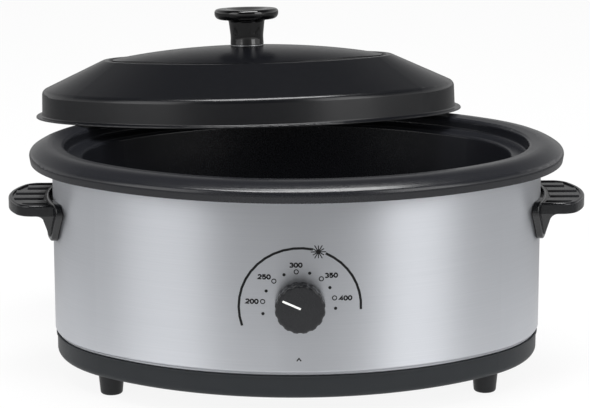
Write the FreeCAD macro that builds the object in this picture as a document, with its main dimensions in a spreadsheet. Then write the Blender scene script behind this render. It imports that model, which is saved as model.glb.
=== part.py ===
"""Electric roaster oven: oval housing on feet, lift-out cookwell, lift-off domed lid and a control knob.

Millimetres, +X to the right, +Y to the back, +Z up. The origin is on the table under the housing's centre.
"""

import FreeCAD, Part

import math
import operator
import os

import Sketcher
from FreeCAD import Placement, Rotation, Vector

SIZES = {
    # Plan outline of every oval piece: two end arcs centred on the long axis, two side arcs on the short one.
    "oval_end_centre": 80.0,
    "oval_side_centre": 91.667,
    # Steel wrapper of the housing
    "shell_half_length": 183.0,
    "shell_wall": 0.8,
    "shell_height": 131.5,
    "shell_tuck": 2.0,
    "shell_tuck_height": 3.5,
    "shell_bend": 1.2,
    "shell_flange": 8.0,
    # Moulded base
    "base_height": 17.5,
    "base_inset": 1.5,
    "base_wall": 2.5,
    "base_corner": 5.0,
    "lip_height": 1.5,
    "lip_proud": 0.8,
    "vent_length": 44.0,
    "vent_width": 4.0,
    "vent_pitch": 10.0,
    "vent_count": 9,
    "boss_radius": 7.0,
    "boss_height": 6.0,
    # Feet and their screws
    "foot_height": 15.0,
    "foot_top_radius": 9.5,
    "foot_tip_radius": 8.1,
    "foot_round": 2.0,
    "foot_inset": 14.76,
    "foot_angle": 48.04,
    "foot_recess_radius": 3.9,
    "foot_recess_depth": 7.0,
    "screw_radius": 1.9,
    "screw_head_radius": 3.6,
    "screw_head_height": 2.2,
    "screw_clearance": 0.1,
    # Heating well, the fixed inner liner
    "well_wall": 1.0,
    "well_floor_gap": 6.0,
    "well_corner": 12.0,
    "well_bend": 1.6,
    "well_fold": 4.0,
    "well_fold_clearance": 0.3,
    # Heating band round the well
    "band_thickness": 2.6,
    "band_height": 40.0,
    "band_bottom": 23.0,
    "band_gap": 10.0,
    "band_lug": 8.0,
    "band_lug_height": 22.0,
    "band_lug_thickness": 1.6,
    "band_bolt_radius": 2.0,
    # Glass-fibre blanket
    "blanket_clearance": 0.3,
    "blanket_thickness": 7.5,
    "blanket_bottom": 5.0,
    "blanket_height": 98.0,
    "blanket_window": 56.0,
    "blanket_slot": 36.0,
    # Thermal cut-out under the well
    "cutout_radius": 8.0,
    "cutout_height": 7.0,
    "cutout_offset": 60.0,
    # Cord bushing low on the back
    "bushing_height": 49.0,
    "bushing_hole_radius": 6.4,
    "bushing_head_radius": 8.6,
    "bushing_head": 3.0,
    "bushing_neck": 7.0,
    "bushing_bore_radius": 3.4,
    "bushing_barb": 0.9,
    # Thermostat, on the dial's centre below the wrapper's top, measured from the wrapper's front
    "dial_drop": 79.5,
    "thermostat_width": 30.0,
    "thermostat_depth": 9.4,
    "thermostat_gap": 1.0,
    "thermostat_corner": 3.0,
    "bracket_width": 42.0,
    "bracket_length": 44.0,
    "bracket_thickness": 1.0,
    "spacer_radius": 8.0,
    "spacer_thickness": 3.0,
    "spacer_clearance": 0.2,
    "threaded_radius": 4.8,
    "threaded_length": 3.2,
    "threaded_clearance": 0.15,
    "nut_flats": 14.0,
    "nut_thickness": 2.2,
    "shaft_radius": 3.0,
    "shaft_flat": 2.1,
    "shaft_length": 7.4,
    "shaft_end_gap": 0.6,
    "shaft_clearance": 0.08,
    # Control knob
    "knob_radius": 18.0,
    "knob_stand_off": 1.0,
    "knob_depth": 8.8,
    "knob_face": 2.4,
    "knob_skirt": 2.6,
    "knob_hub_radius": 6.2,
    "knob_edge": 1.8,
    "knob_scallops": 16,
    "scallop_radius": 4.6,
    "scallop_depth": 0.6,
    # Side handles
    "handle_height": 128.0,
    "handle_clearance": 0.3,
    "handle_reach": 28.7,
    "handle_end_radius": 65.0,
    "handle_half_width": 39.0,
    "handle_corner": 14.0,
    "handle_thickness": 8.2,
    "handle_skin": 2.6,
    "handle_edge": 1.6,
    "shield_thickness": 4.2,
    "shield_top": 9.5,
    "shield_bottom": 21.0,
    "shield_top_half_width": 51.0,
    "shield_bottom_half_width": 32.0,
    "shield_corner": 7.0,
    "shield_edge": 1.2,
    "relief_width": 2.4,
    "relief_depth": 5.0,
    "relief_half_width": 26.0,
    "gusset_half_width": 25.0,
    "gusset_reach": 3.6,
    "gusset_drop": 13.0,
    "cheek_drop": 18.5,
    "cheek_reach": 0.6,
    "cheek_inset": 3.2,
    "cheek_corner": 3.5,
    "cheek_round": 6.0,
    "field_depth": 1.0,
    "field_margin": 3.0,
    "rib_pitch": 17.0,
    "rib_width": 15.0,
    "rib_height": 0.9,
    "rib_count": 4,
    "handle_screw_spacing": 36.0,
    "handle_screw_drop": 8.0,
    "handle_screw_bite": 3.4,
    # Cookwell, the enamelled lift-out pot
    "cookwell_wall": 1.0,
    "cookwell_clearance": 0.3,
    "cookwell_gap": 3.0,
    "cookwell_depth": 112.3,
    "cookwell_taper": 8.5,
    "cookwell_corner": 14.0,
    "ledge_width": 13.4,
    "ledge_round": 2.4,
    "riser_height": 9.1,
    "riser_round": 3.0,
    "crown_width": 16.6,
    "crown_rise": 1.3,
    "crown_round": 22.0,
    "rim_width": 10.2,
    "rim_fall": 6.7,
    "rim_round": 4.2,
    "rim_lean": 1.2,
    "rim_skirt": 7.2,
    # Lid, measured from the plane of its flange
    "lid_wall": 0.8,
    "lid_clearance": 4.7,
    "lid_lip_width": 4.7,
    "lid_lip_height": 1.4,
    "lid_lip_round": 1.0,
    "lid_lean": 0.5,
    "lid_skirt_height": 20.8,
    "lid_shoulder": 4.8,
    "lid_slope_width": 49.4,
    "lid_slope_height": 43.6,
    "lid_slope_round": 3.0,
    "lid_bead_width": 4.6,
    "lid_bead_round": 1.5,
    "lid_groove_width": 3.0,
    "lid_groove_drop": 1.8,
    "lid_groove_round": 0.9,
    "dome_rise": 9.4,
    "dome_depth": 40.0,
    "seat_radius": 13.4,
    "seat_height": 0.1,
    "lid_washer_radius": 12.2,
    "lid_washer_thickness": 0.5,
    "lid_knob_radius": 25.3,
    "lid_knob_stem_radius": 12.9,
    "lid_knob_base_radius": 13.2,
    "lid_knob_base_round": 0.5,
    "lid_knob_neck_radius": 14.4,
    "lid_knob_height": 28.3,
    "lid_knob_disc": 8.2,
    "lid_knob_round": 4.6,
    "lid_knob_edge": 2.6,
    "lid_knob_dish_radius": 17.8,
    "lid_knob_dish": 1.8,
    "lid_knob_dish_round": 5.4,
    "lid_knob_bore_depth": 16.0,
    "lid_screw_radius": 2.4,
    "lid_screw_head_radius": 5.0,
    "lid_screw_head": 2.6,
    "lid_screw_length": 13.0,
    # The lid rests set back and tilted on the cookwell's rim
    "lid_rest_x": -36.0,
    "lid_rest_y": 130.0,
    "lid_rest_gap": 0.3,
    "lid_tilt": -5.3,
    "lid_roll": -1.1,
}

document = FreeCAD.newDocument("roaster_oven")
sheet = document.addObject("Spreadsheet::Sheet", "sizes")
for row, (alias, number) in enumerate(SIZES.items(), start=1):
    sheet.set(f"A{row}", alias)
    sheet.set(f"B{row}", str(number))
    sheet.setAlias(f"B{row}", alias)
document.recompute()


class Length:
    """A size together with the sheet expression that gives it."""

    def __init__(self, text, value):
        self.text = text
        self.value = value

    def __add__(self, other):
        return combined(self, "+", other)

    def __sub__(self, other):
        return combined(self, "-", other)

    def __mul__(self, other):
        return combined(self, "*", other)

    def __truediv__(self, other):
        return combined(self, "/", other)

    def __neg__(self):
        return combined(0.0, "-", self)


RULES = {"+": operator.add, "-": operator.sub, "*": operator.mul, "/": operator.truediv}


def length(item):
    """A plain number as a Length; a Length stays as it is."""
    if isinstance(item, Length):
        return item
    return Length(f"{item:.6f}", float(item))


def combined(left, sign, right):
    left = length(left)
    right = length(right)
    return Length(f"({left.text} {sign} {right.text})", RULES[sign](left.value, right.value))


def root(item):
    return Length(f"sqrt({item.text})", math.sqrt(item.value))


def cosine(angle):
    return Length(f"cos({angle.text})", math.cos(math.radians(angle.value)))


def sine(angle):
    return Length(f"sin({angle.text})", math.sin(math.radians(angle.value)))


class Sizes:
    """Gives each size of the sheet by its name."""

    def __getattr__(self, name):
        return Length(f"sizes.{name}", float(SIZES[name]))


size = Sizes()
end_square = size.oval_end_centre * size.oval_end_centre
side_square = size.oval_side_centre * size.oval_side_centre
centre_distance = root(end_square + side_square)
narrowing = size.oval_end_centre + size.oval_side_centre - centre_distance
UP = Vector(0, 0, 1)


def half_width(half_length):
    """Half width of the oval with this half length: all ovals share their arcs' centres."""
    return half_length - narrowing


# Bodies and sketches


def bind(item, attribute, value):
    item.setExpression(attribute, length(value).text)


def new_body(label, x=0.0, y=0.0, z=0.0, rotation=None):
    body = document.addObject("PartDesign::Body", label)
    body.Label = label
    if rotation is not None:
        body.Placement = Placement(Vector(), rotation)
    for axis, value in (("x", x), ("y", y), ("z", z)):
        bind(body, f"Placement.Base.{axis}", value)
    return body


def attach(body, item, role, offset):
    """Sets an item on one of the body's own origin planes, moved along the plane's normal by the offset."""
    plane = next(feature for feature in body.Origin.OriginFeatures if feature.Role == role)
    item.AttachmentSupport = [(plane, "")]
    item.MapMode = "FlatFace"
    bind(item, "AttachmentOffset.Base.z", offset)


def new_sketch(body, name, role="XY_Plane", offset=0.0):
    sketch = body.newObject("Sketcher::SketchObject", name)
    attach(body, sketch, role, offset)
    return sketch


def add(sketch, kind, *values):
    """Adds a constraint; a last value that is a Length binds it to the sheet."""
    if not isinstance(values[-1], Length):
        return sketch.addConstraint(Sketcher.Constraint(kind, *values))
    index = sketch.addConstraint(Sketcher.Constraint(kind, *values[:-1], values[-1].value))
    sketch.setExpression(f"Constraints[{index}]", values[-1].text)
    return index


def fix_point(sketch, geometry, end, x, y):
    """Holds a point at x, y from the sketch's origin."""
    for kind, axis, value in (("DistanceX", -2, length(x)), ("DistanceY", -1, length(y))):
        if value.value == 0.0:
            add(sketch, "PointOnObject", geometry, end, axis)
        else:
            add(sketch, kind, -1, 1, geometry, end, value)


def circle(sketch, x, y, radius):
    x = length(x)
    y = length(y)
    radius = length(radius)
    shape = Part.Circle(Vector(x.value, y.value, 0), UP, radius.value)
    index = sketch.addGeometry(shape, False)
    fix_point(sketch, index, 3, x, y)
    add(sketch, "Radius", index, radius)


def oval(sketch, half_length):
    """Four tangent arcs: right end, back, left end and front."""
    end = size.oval_end_centre
    side = size.oval_side_centre
    end_radius = half_length - end
    side_radius = (end_radius + centre_distance).value
    turn = math.atan2(side.value, end.value)
    arcs = (
        (end.value, 0, end_radius.value, -turn, turn),
        (0, -side.value, side_radius, turn, math.pi - turn),
        (-end.value, 0, end_radius.value, math.pi - turn, math.pi + turn),
        (0, side.value, side_radius, math.pi + turn, 2 * math.pi - turn),
    )
    first = sketch.GeometryCount
    for x, y, radius, begin, finish in arcs:
        shape = Part.ArcOfCircle(Part.Circle(Vector(x, y, 0), UP, radius), begin, finish)
        sketch.addGeometry(shape, False)
    right, back, left, front = range(first, first + 4)
    for one, following in ((right, back), (back, left), (left, front), (front, right)):
        add(sketch, "Tangent", one, 2, following, 1)
    fix_point(sketch, right, 3, end, 0.0)
    fix_point(sketch, left, 3, -end, 0.0)
    fix_point(sketch, back, 3, 0.0, -side)
    add(sketch, "DistanceY", -1, 1, front, 3, side)
    add(sketch, "Radius", right, end_radius)


def ring(sketch, inner, outer):
    oval(sketch, inner)
    oval(sketch, outer)


class Corner:
    """One corner of a run of straight lines, with its rounding worked out."""

    def __init__(self, before, at, after, radius):
        self.at = at
        self.radius = radius
        self.start = at
        self.finish = at
        self.arc = None
        if before is None or after is None or radius <= 0:
            return
        incoming = (at - before).normalize()
        outgoing = (after - at).normalize()
        turn = math.atan2(incoming.cross(outgoing).z, incoming.dot(outgoing))
        reach = radius * math.tan(abs(turn) / 2)
        self.start = at - incoming * reach
        self.finish = at + outgoing * reach
        inward = Vector(-incoming.y, incoming.x, 0) * math.copysign(1, turn)
        self.centre = self.start + inward * radius
        self.left = turn > 0
        ends = (self.start, self.finish) if self.left else (self.finish, self.start)
        begin, stop = (math.atan2(end.y - self.centre.y, end.x - self.centre.x) for end in ends)
        if stop < begin:
            stop += 2 * math.pi
        self.arc = Part.ArcOfCircle(Part.Circle(self.centre, UP, radius), begin, stop)


def corners_of(points, radii, closed):
    result = []
    for index, (point, radius) in enumerate(zip(points, radii)):
        last = len(points) - 1
        before = points[index - 1] if closed or index > 0 else None
        after = points[(index + 1) % len(points)] if closed or index < last else None
        result.append(Corner(before, point, after, radius))
    return result


def draw_lines(sketch, corners, closed):
    """Adds the straight lines of a run and returns their numbers."""
    count = len(corners) if closed else len(corners) - 1
    lines = []
    for index in range(count):
        following = corners[(index + 1) % len(corners)]
        lines.append(sketch.addGeometry(Part.LineSegment(corners[index].finish, following.start), False))
    return lines


def draw_arc(sketch, corner, before, after, radius):
    arc = sketch.addGeometry(corner.arc, False)
    first, last = (1, 2) if corner.left else (2, 1)
    add(sketch, "Tangent", before, 2, arc, first)
    add(sketch, "Tangent", arc, last, after, 1)
    add(sketch, "Radius", arc, radius)


def draw_run(sketch, corners, sizes, closed):
    """Lines and arcs through the corners (x, y, radius), each corner held by its own two sizes."""
    lines = draw_lines(sketch, corners, closed)
    for index, (corner, (x, y, radius)) in enumerate(zip(corners, sizes)):
        before = lines[index - 1] if closed or index > 0 else None
        after = lines[index] if index < len(lines) else None
        if corner.arc is None:
            if before is not None and after is not None:
                add(sketch, "Coincident", before, 2, after, 1)
            if after is not None:
                fix_point(sketch, after, 1, x, y)
            else:
                fix_point(sketch, before, 2, x, y)
            continue
        point = sketch.addGeometry(Part.Point(corner.at), True)
        fix_point(sketch, point, 1, x, y)
        add(sketch, "PointOnObject", point, 1, before)
        add(sketch, "PointOnObject", point, 1, after)
        draw_arc(sketch, corner, before, after, length(radius))
    return lines


def spread(corners):
    """Corners as (x, y, radius) Lengths, their points and their radii as numbers."""
    sizes = [tuple(length(item) for item in (*corner, 0.0)[:3]) for corner in corners]
    points = [Vector(x.value, y.value, 0) for x, y, _ in sizes]
    radii = [radius.value for _, _, radius in sizes]
    return sizes, points, radii


def outline(sketch, corners):
    """Closed outline through the corners (x, y) or (x, y, radius)."""
    sizes, points, radii = spread(corners)
    draw_run(sketch, corners_of(points, radii, True), sizes, True)


def sheet_section(sketch, corners, wall, side=1):
    """Section of a bent sheet: one face runs through the corners, the other lies a wall to its left (side 1)
    or its right (side -1), and square ends close it."""
    sizes, points, radii = spread(corners)
    run = corners_of(points, radii, False)
    lines = draw_run(sketch, run, sizes, False)
    directions = [(after - before).normalize() for before, after in zip(points, points[1:])]
    normals = [Vector(-way.y, way.x, 0) * side for way in directions]
    inner_points = [points[0] + normals[0] * wall.value]
    for point, one, other in zip(points[1:], normals, normals[1:]):
        inner_points.append(point + (one + other) * (wall.value / (1 + one.dot(other))))
    inner_points.append(points[-1] + normals[-1] * wall.value)
    inner_sizes = [length(0.0)]
    for corner, (_, _, radius) in zip(run[1:-1], sizes[1:-1]):
        if corner.arc is None:
            inner_sizes.append(length(0.0))
        elif corner.left == (side == 1):
            inner_sizes.append(radius - wall)
        else:
            inner_sizes.append(radius + wall)
    inner_sizes.append(length(0.0))
    inner = corners_of(inner_points, [item.value for item in inner_sizes], False)
    inner_lines = draw_lines(sketch, inner, False)
    for line, inner_line in zip(lines, inner_lines):
        add(sketch, "Parallel", line, inner_line)
        add(sketch, "Distance", inner_line, 1, line, wall)
    for index in range(1, len(inner_lines)):
        before, after = inner_lines[index - 1], inner_lines[index]
        if inner[index].arc is None:
            add(sketch, "Coincident", before, 2, after, 1)
        else:
            draw_arc(sketch, inner[index], before, after, inner_sizes[index])
    for line, inner_line, end, at, to in (
        (lines[0], inner_lines[0], 1, points[0], inner_points[0]),
        (lines[-1], inner_lines[-1], 2, points[-1], inner_points[-1]),
    ):
        closing = sketch.addGeometry(Part.LineSegment(at, to), False)
        add(sketch, "Coincident", line, end, closing, 1)
        add(sketch, "Coincident", closing, 2, inner_line, end)
        add(sketch, "Perpendicular", closing, line)


# Features


def made(feature):
    """Recomputes and checks that the feature holds."""
    document.recompute()
    if "Invalid" in feature.State or "Error" in feature.State or not feature.Shape.isValid():
        raise RuntimeError(f"{feature.Name} failed: {feature.State}")
    return feature


def pad(body, sketch, height, reverse=False, symmetric=False):
    feature = body.newObject("PartDesign::Pad", f"{sketch.Name}_pad")
    feature.Profile = sketch
    bind(feature, "Length", height)
    feature.Reversed = reverse
    feature.SideType = "Symmetric" if symmetric else "One side"
    return made(feature)


def pocket(body, sketch, depth=None, forward=False, symmetric=False):
    """Cuts against the sketch's normal, or along it when forward; with no depth it cuts through all."""
    before = body.Shape.Volume
    feature = body.newObject("PartDesign::Pocket", f"{sketch.Name}_pocket")
    feature.Profile = sketch
    feature.Reversed = forward
    feature.SideType = "Symmetric" if symmetric else "One side"
    if depth is None:
        feature.Type = "ThroughAll"
    else:
        bind(feature, "Length", depth)
    made(feature)
    if feature.Shape.Volume > before - 0.01:
        raise RuntimeError(f"{feature.Name} cuts nothing")
    return feature


def sweep(body, section, path):
    feature = body.newObject("PartDesign::AdditivePipe", f"{section.Name}_sweep")
    feature.Profile = section
    feature.Spine = (path, [])
    return made(feature)


def revolve(body, sketch):
    """Full turn about the sketch's vertical axis."""
    feature = body.newObject("PartDesign::Revolution", f"{sketch.Name}_turned")
    feature.Profile = sketch
    feature.ReferenceAxis = (sketch, ["V_Axis"])
    feature.Angle = 360
    return made(feature)


def fillet(body, base, radius, chosen):
    """Rounds the edges of the base feature that the test picks."""
    names = [f"Edge{number}" for number, edge in enumerate(base.Shape.Edges, start=1) if chosen(edge)]
    if not names:
        raise RuntimeError(f"no edge to round on {base.Name}")
    feature = body.newObject("PartDesign::Fillet", f"{base.Name}_rounded")
    feature.Base = (base, names)
    bind(feature, "Radius", radius)
    return made(feature)


def polar_pattern(body, feature, count):
    pattern = body.newObject("PartDesign::PolarPattern", f"{feature.Name}_around")
    pattern.Originals = [feature]
    pattern.Axis = (feature.Profile[0], ["N_Axis"])
    pattern.Angle = 360
    pattern.Occurrences = int(count.value)
    body.Tip = pattern
    return made(pattern)


def linear_pattern(body, feature, axis, pitch, count):
    """Copies in a row that is centred on the first one's sketch origin."""
    pattern = body.newObject("PartDesign::LinearPattern", f"{feature.Name}_row")
    pattern.Originals = [feature]
    pattern.Direction = (feature.Profile[0], [axis])
    bind(pattern, "Length", pitch * (count - 1))
    pattern.Occurrences = int(count.value)
    body.Tip = pattern
    return made(pattern)


def flat_at(height):
    """Test for an edge that lies wholly at one height."""
    def chosen(edge):
        box = edge.BoundBox
        return abs(box.ZMin - height.value) < 1e-4 and abs(box.ZMax - height.value) < 1e-4
    return chosen


# Heights and places that several pieces share. From the wrapper inwards each oval leaves room for the next:
# thermostat, band, well and pot. Downwards the pot hangs from the wrapper's edge and the well clears the pot.

base_half_length = size.shell_half_length - size.base_inset
shell_bottom = size.foot_height + size.base_height
shell_top = shell_bottom + size.shell_height
shell_inside = size.shell_half_length - size.shell_wall
front = half_width(size.shell_half_length)
dial_height = shell_top - size.dial_drop
screw_hole = size.screw_radius + size.screw_clearance
spacer_back = size.shell_wall + size.spacer_clearance + size.spacer_thickness
bracket_back = spacer_back + size.bracket_thickness
band_half_length = size.shell_half_length - bracket_back - size.thermostat_depth - size.thermostat_gap
well_half_length = band_half_length - size.band_thickness
cookwell_half_length = well_half_length - size.well_wall - size.cookwell_gap - size.cookwell_wall
ledge_half_length = cookwell_half_length + size.ledge_width
cookwell_top = shell_top + size.well_wall + size.cookwell_clearance + size.cookwell_wall
cookwell_base = cookwell_top - size.cookwell_depth
well_floor = cookwell_base - size.well_floor_gap - size.well_wall
FEET = {"front_left": (-1, -1), "front_right": (1, -1), "rear_left": (-1, 1), "rear_right": (1, 1)}


def foot_places():
    """The feet stand at one angle about the base's end arcs, one inset in from its edge."""
    reach = base_half_length - size.oval_end_centre - size.foot_inset
    along = size.oval_end_centre + reach * cosine(size.foot_angle)
    across = reach * sine(size.foot_angle)
    return {name: (along * x, across * y) for name, (x, y) in FEET.items()}


# Base, feet and wrapper


def make_base_pan():
    """Moulded tray with a rounded lower edge, a thin lip, vents and a screw boss over each foot."""
    body = new_body("base_pan", z=size.foot_height)
    plan = new_sketch(body, "base_plan")
    oval(plan, base_half_length)
    block = pad(body, plan, size.base_height)
    fillet(body, block, size.base_corner, flat_at(length(0.0)))
    hollow = new_sketch(body, "base_hollow", offset=size.base_wall)
    oval(hollow, base_half_length - size.base_wall)
    pocket(body, hollow, forward=True)
    lip = new_sketch(body, "base_lip", offset=size.base_height - size.lip_height)
    ring(lip, base_half_length - size.base_wall, base_half_length + size.lip_proud)
    pad(body, lip, size.lip_height)
    bosses = new_sketch(body, "base_bosses", offset=size.base_wall)
    for x, y in foot_places().values():
        circle(bosses, x, y, size.boss_radius)
    pad(body, bosses, size.boss_height)
    holes = new_sketch(body, "base_holes", offset=size.base_wall + size.boss_height)
    for x, y in foot_places().values():
        circle(holes, x, y, screw_hole)
    pocket(body, holes)
    vent = new_sketch(body, "base_vent", offset=size.base_wall)
    left = -size.vent_pitch * (size.vent_count - 1) / 2 - size.vent_width / 2
    slot = [
        (left, -size.vent_length / 2),
        (left + size.vent_width, -size.vent_length / 2),
        (left + size.vent_width, size.vent_length / 2),
        (left, size.vent_length / 2),
    ]
    outline(vent, slot)
    cut = pocket(body, vent)
    linear_pattern(body, cut, "H_Axis", size.vent_pitch, size.vent_count)


def make_feet():
    for name, (x, y) in foot_places().items():
        body = new_body(f"foot_{name}", x=x, y=y)
        section = new_sketch(body, f"foot_{name}_section", "XZ_Plane")
        corners = [
            (size.foot_recess_radius, 0.0),
            (size.foot_tip_radius, 0.0, size.foot_round),
            (size.foot_top_radius, size.foot_height),
            (screw_hole, size.foot_height),
            (screw_hole, size.foot_recess_depth),
            (size.foot_recess_radius, size.foot_recess_depth),
        ]
        outline(section, corners)
        revolve(body, section)


def screw(label, placement_values, head_radius, head_height, shank_radius, shank_length, rotation=None):
    """Pan-head screw: the head's seat is at the origin and the shank runs along local +Z."""
    x, y, z = placement_values
    body = new_body(label, x=x, y=y, z=z, rotation=rotation)
    section = new_sketch(body, f"{label}_section", "XZ_Plane")
    corners = [
        (0.0, -head_height),
        (head_radius, -head_height, head_height / 2),
        (head_radius, 0.0),
        (shank_radius, 0.0),
        (shank_radius, shank_length),
        (0.0, shank_length),
    ]
    outline(section, corners)
    revolve(body, section)
    return body


def make_foot_screws():
    reach = size.foot_height - size.foot_recess_depth + size.base_wall + size.boss_height
    for name, (x, y) in foot_places().items():
        screw(
            f"foot_screw_{name}",
            (x, y, size.foot_recess_depth),
            size.screw_head_radius,
            size.screw_head_height,
            size.screw_radius,
            reach,
        )


def handle_screw_places():
    """Where the handle screws cross the housing: y and z, at the front and the rear of each handle."""
    height = size.handle_height - size.handle_screw_drop
    half = size.handle_screw_spacing / 2
    return {"front": (-half, height), "rear": (half, height)}


def make_outer_shell():
    """Wrapper of thin steel: turned in at the bottom, with holes for what passes through it."""
    body = new_body("outer_shell", z=shell_bottom)
    path = new_sketch(body, "shell_path")
    oval(path, size.shell_half_length)
    section = new_sketch(body, "shell_section", "XZ_Plane")
    foot = size.shell_half_length - size.shell_tuck
    corners = [
        (foot - size.shell_flange, 0.0),
        (foot, 0.0, size.shell_bend),
        (foot, size.shell_tuck_height / 2, size.shell_bend),
        (size.shell_half_length, size.shell_tuck_height, size.shell_bend),
        (size.shell_half_length, size.shell_height),
    ]
    sheet_section(section, corners, size.shell_wall)
    sweep(body, section, path)
    openings = new_sketch(body, "shell_front_hole", "XZ_Plane")
    circle(openings, 0.0, dial_height - shell_bottom, size.threaded_radius + size.threaded_clearance)
    pocket(body, openings, forward=True)
    cord = new_sketch(body, "shell_cord_hole", "XZ_Plane")
    circle(cord, 0.0, size.bushing_height - shell_bottom, size.bushing_hole_radius)
    pocket(body, cord)
    sides = new_sketch(body, "shell_side_holes", "YZ_Plane")
    for y, z in handle_screw_places().values():
        circle(sides, y, z - shell_bottom, screw_hole)
    pocket(body, sides, symmetric=True)


def make_cord_bushing():
    """Hollow strain-relief bushing snapped into the wrapper's back."""
    turn = Rotation(Vector(1, 0, 0), -90)
    body = new_body("cord_bushing", y=front, z=size.bushing_height, rotation=turn)
    section = new_sketch(body, "bushing_section", "XZ_Plane")
    neck = size.bushing_hole_radius - size.screw_clearance
    corners = [
        (size.bushing_bore_radius, -size.bushing_neck),
        (neck, -size.bushing_neck, size.bushing_barb),
        (neck, 0.0),
        (size.bushing_head_radius, 0.0),
        (size.bushing_head_radius, size.bushing_head, size.bushing_head / 2),
        (size.bushing_bore_radius, size.bushing_head),
    ]
    outline(section, corners)
    revolve(body, section)


# Heating parts

well_top = shell_top - well_floor
blanket_inner = band_half_length + size.blanket_clearance


def make_heating_well():
    """Aluminised liner: floor, wall, and a flange folded down over the wrapper's top edge."""
    body = new_body("heating_well", z=well_floor)
    floor_half_length = well_half_length - size.well_corner * 2
    plan = new_sketch(body, "well_floor")
    oval(plan, floor_half_length)
    pad(body, plan, size.well_wall)
    path = new_sketch(body, "well_path")
    oval(path, well_half_length)
    section = new_sketch(body, "well_section", "XZ_Plane")
    fold = size.shell_half_length + size.well_fold_clearance
    corners = [
        (floor_half_length, 0.0),
        (well_half_length, 0.0, size.well_corner),
        (well_half_length, well_top, size.well_bend),
        (fold, well_top),
        (fold, well_top - size.well_fold),
    ]
    sheet_section(section, corners, size.well_wall)
    sweep(body, section, path)


def make_heating_band():
    """Band heater clamped round the well: its two ends turn out into lugs at the back."""
    body = new_body("heating_band", z=well_floor + size.band_bottom)
    plan = new_sketch(body, "band_plan")
    ring(plan, well_half_length, band_half_length)
    pad(body, plan, size.band_height)
    gap = new_sketch(body, "band_gap")
    half_gap = size.band_gap / 2
    outer = half_width(band_half_length)
    near = outer / 2
    far = outer * 2
    outline(gap, [(-half_gap, near), (half_gap, near), (half_gap, far), (-half_gap, far)])
    pocket(body, gap, forward=True)
    lugs = new_sketch(body, "band_lugs", offset=(size.band_height - size.band_lug_height) / 2)
    near = outer - size.band_thickness / 2
    far = outer + size.band_lug
    for side in (-1, 1):
        thin = half_gap * side
        thick = (half_gap + size.band_lug_thickness) * side
        outline(lugs, [(thin, near), (thick, near), (thick, far), (thin, far)])
    pad(body, lugs, size.band_lug_height)
    holes = new_sketch(body, "band_lug_holes", "YZ_Plane")
    hole = size.band_bolt_radius + size.screw_clearance
    circle(holes, outer + size.band_lug / 2, size.band_height / 2, hole)
    pocket(body, holes, symmetric=True)


def make_band_bolt():
    """Bolt that draws the band's lugs together."""
    reach = size.band_gap / 2 + size.band_lug_thickness
    place = (-reach, half_width(band_half_length) + size.band_lug / 2)
    height = well_floor + size.band_bottom + size.band_height / 2
    turn = Rotation(Vector(0, 1, 0), 90)
    screw(
        "band_bolt",
        (*place, height),
        size.band_bolt_radius * 1.8,
        size.band_bolt_radius,
        size.band_bolt_radius,
        reach * 2 + size.band_bolt_radius * 2,
        rotation=turn,
    )


def make_insulation_blanket():
    """Soft blanket round the band, open at the thermostat and at the band's lugs."""
    body = new_body("insulation_blanket", z=well_floor + size.blanket_bottom)
    outer = blanket_inner + size.blanket_thickness
    plan = new_sketch(body, "blanket_plan")
    ring(plan, blanket_inner, outer)
    pad(body, plan, size.blanket_height)
    window = new_sketch(body, "blanket_window", "XZ_Plane")
    middle = dial_height - well_floor - size.blanket_bottom
    half = size.blanket_window / 2
    low = middle - half
    high = middle + half
    outline(window, [(-half, low), (half, low), (half, high), (-half, high)])
    pocket(body, window, forward=True)
    slot = new_sketch(body, "blanket_slot")
    half = size.blanket_slot / 2
    inner_side = half_width(blanket_inner) / 2
    outer_side = half_width(outer) * 2
    outline(slot, [(-half, inner_side), (half, inner_side), (half, outer_side), (-half, outer_side)])
    pocket(body, slot, forward=True)


def make_thermal_cutout():
    """Safety cut-out held against the underside of the well's floor."""
    body = new_body("thermal_cutout", x=size.cutout_offset, z=well_floor - size.cutout_height)
    cap = new_sketch(body, "cutout_cap")
    circle(cap, 0.0, 0.0, size.cutout_radius)
    block = pad(body, cap, size.cutout_height)
    fillet(body, block, size.cutout_radius / 8, flat_at(length(0.0)))


# Thermostat and control knob: local +Z points out of the front, from the wrapper's outer face

TO_FRONT = Rotation(Vector(1, 0, 0), 90)
knob_front = size.knob_stand_off + size.knob_depth


def front_body(label):
    return new_body(label, y=-front, z=dial_height, rotation=TO_FRONT)


def rectangle(sketch, width, height, radius=0.0):
    x = width / 2
    y = height / 2
    outline(sketch, [(-x, -y, radius), (x, -y, radius), (x, y, radius), (-x, y, radius)])


def make_thermostat_body():
    """Thermostat switch with its threaded neck through the wrapper."""
    body = front_body("thermostat_body")
    case = new_sketch(body, "thermostat_case", offset=-bracket_back)
    rectangle(case, size.thermostat_width, size.thermostat_width, size.thermostat_corner)
    pad(body, case, size.thermostat_depth, reverse=True)
    neck = new_sketch(body, "thermostat_neck", offset=-bracket_back)
    circle(neck, 0.0, 0.0, size.threaded_radius)
    pad(body, neck, bracket_back + size.threaded_length)
    bore = new_sketch(body, "thermostat_bore", offset=size.threaded_length)
    circle(bore, 0.0, 0.0, size.shaft_radius + size.shaft_clearance)
    pocket(body, bore, bracket_back + size.threaded_length)


def make_thermostat_bracket():
    body = front_body("thermostat_bracket")
    plate = new_sketch(body, "bracket_plate", offset=-bracket_back)
    rectangle(plate, size.bracket_width, size.bracket_length, size.thermostat_corner)
    circle(plate, 0.0, 0.0, size.threaded_radius + size.threaded_clearance)
    pad(body, plate, size.bracket_thickness)


def make_thermostat_spacer():
    body = front_body("thermostat_spacer")
    disc = new_sketch(body, "spacer_disc", offset=-spacer_back)
    circle(disc, 0.0, 0.0, size.spacer_radius)
    circle(disc, 0.0, 0.0, size.threaded_radius + size.threaded_clearance)
    pad(body, disc, size.spacer_thickness)


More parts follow.
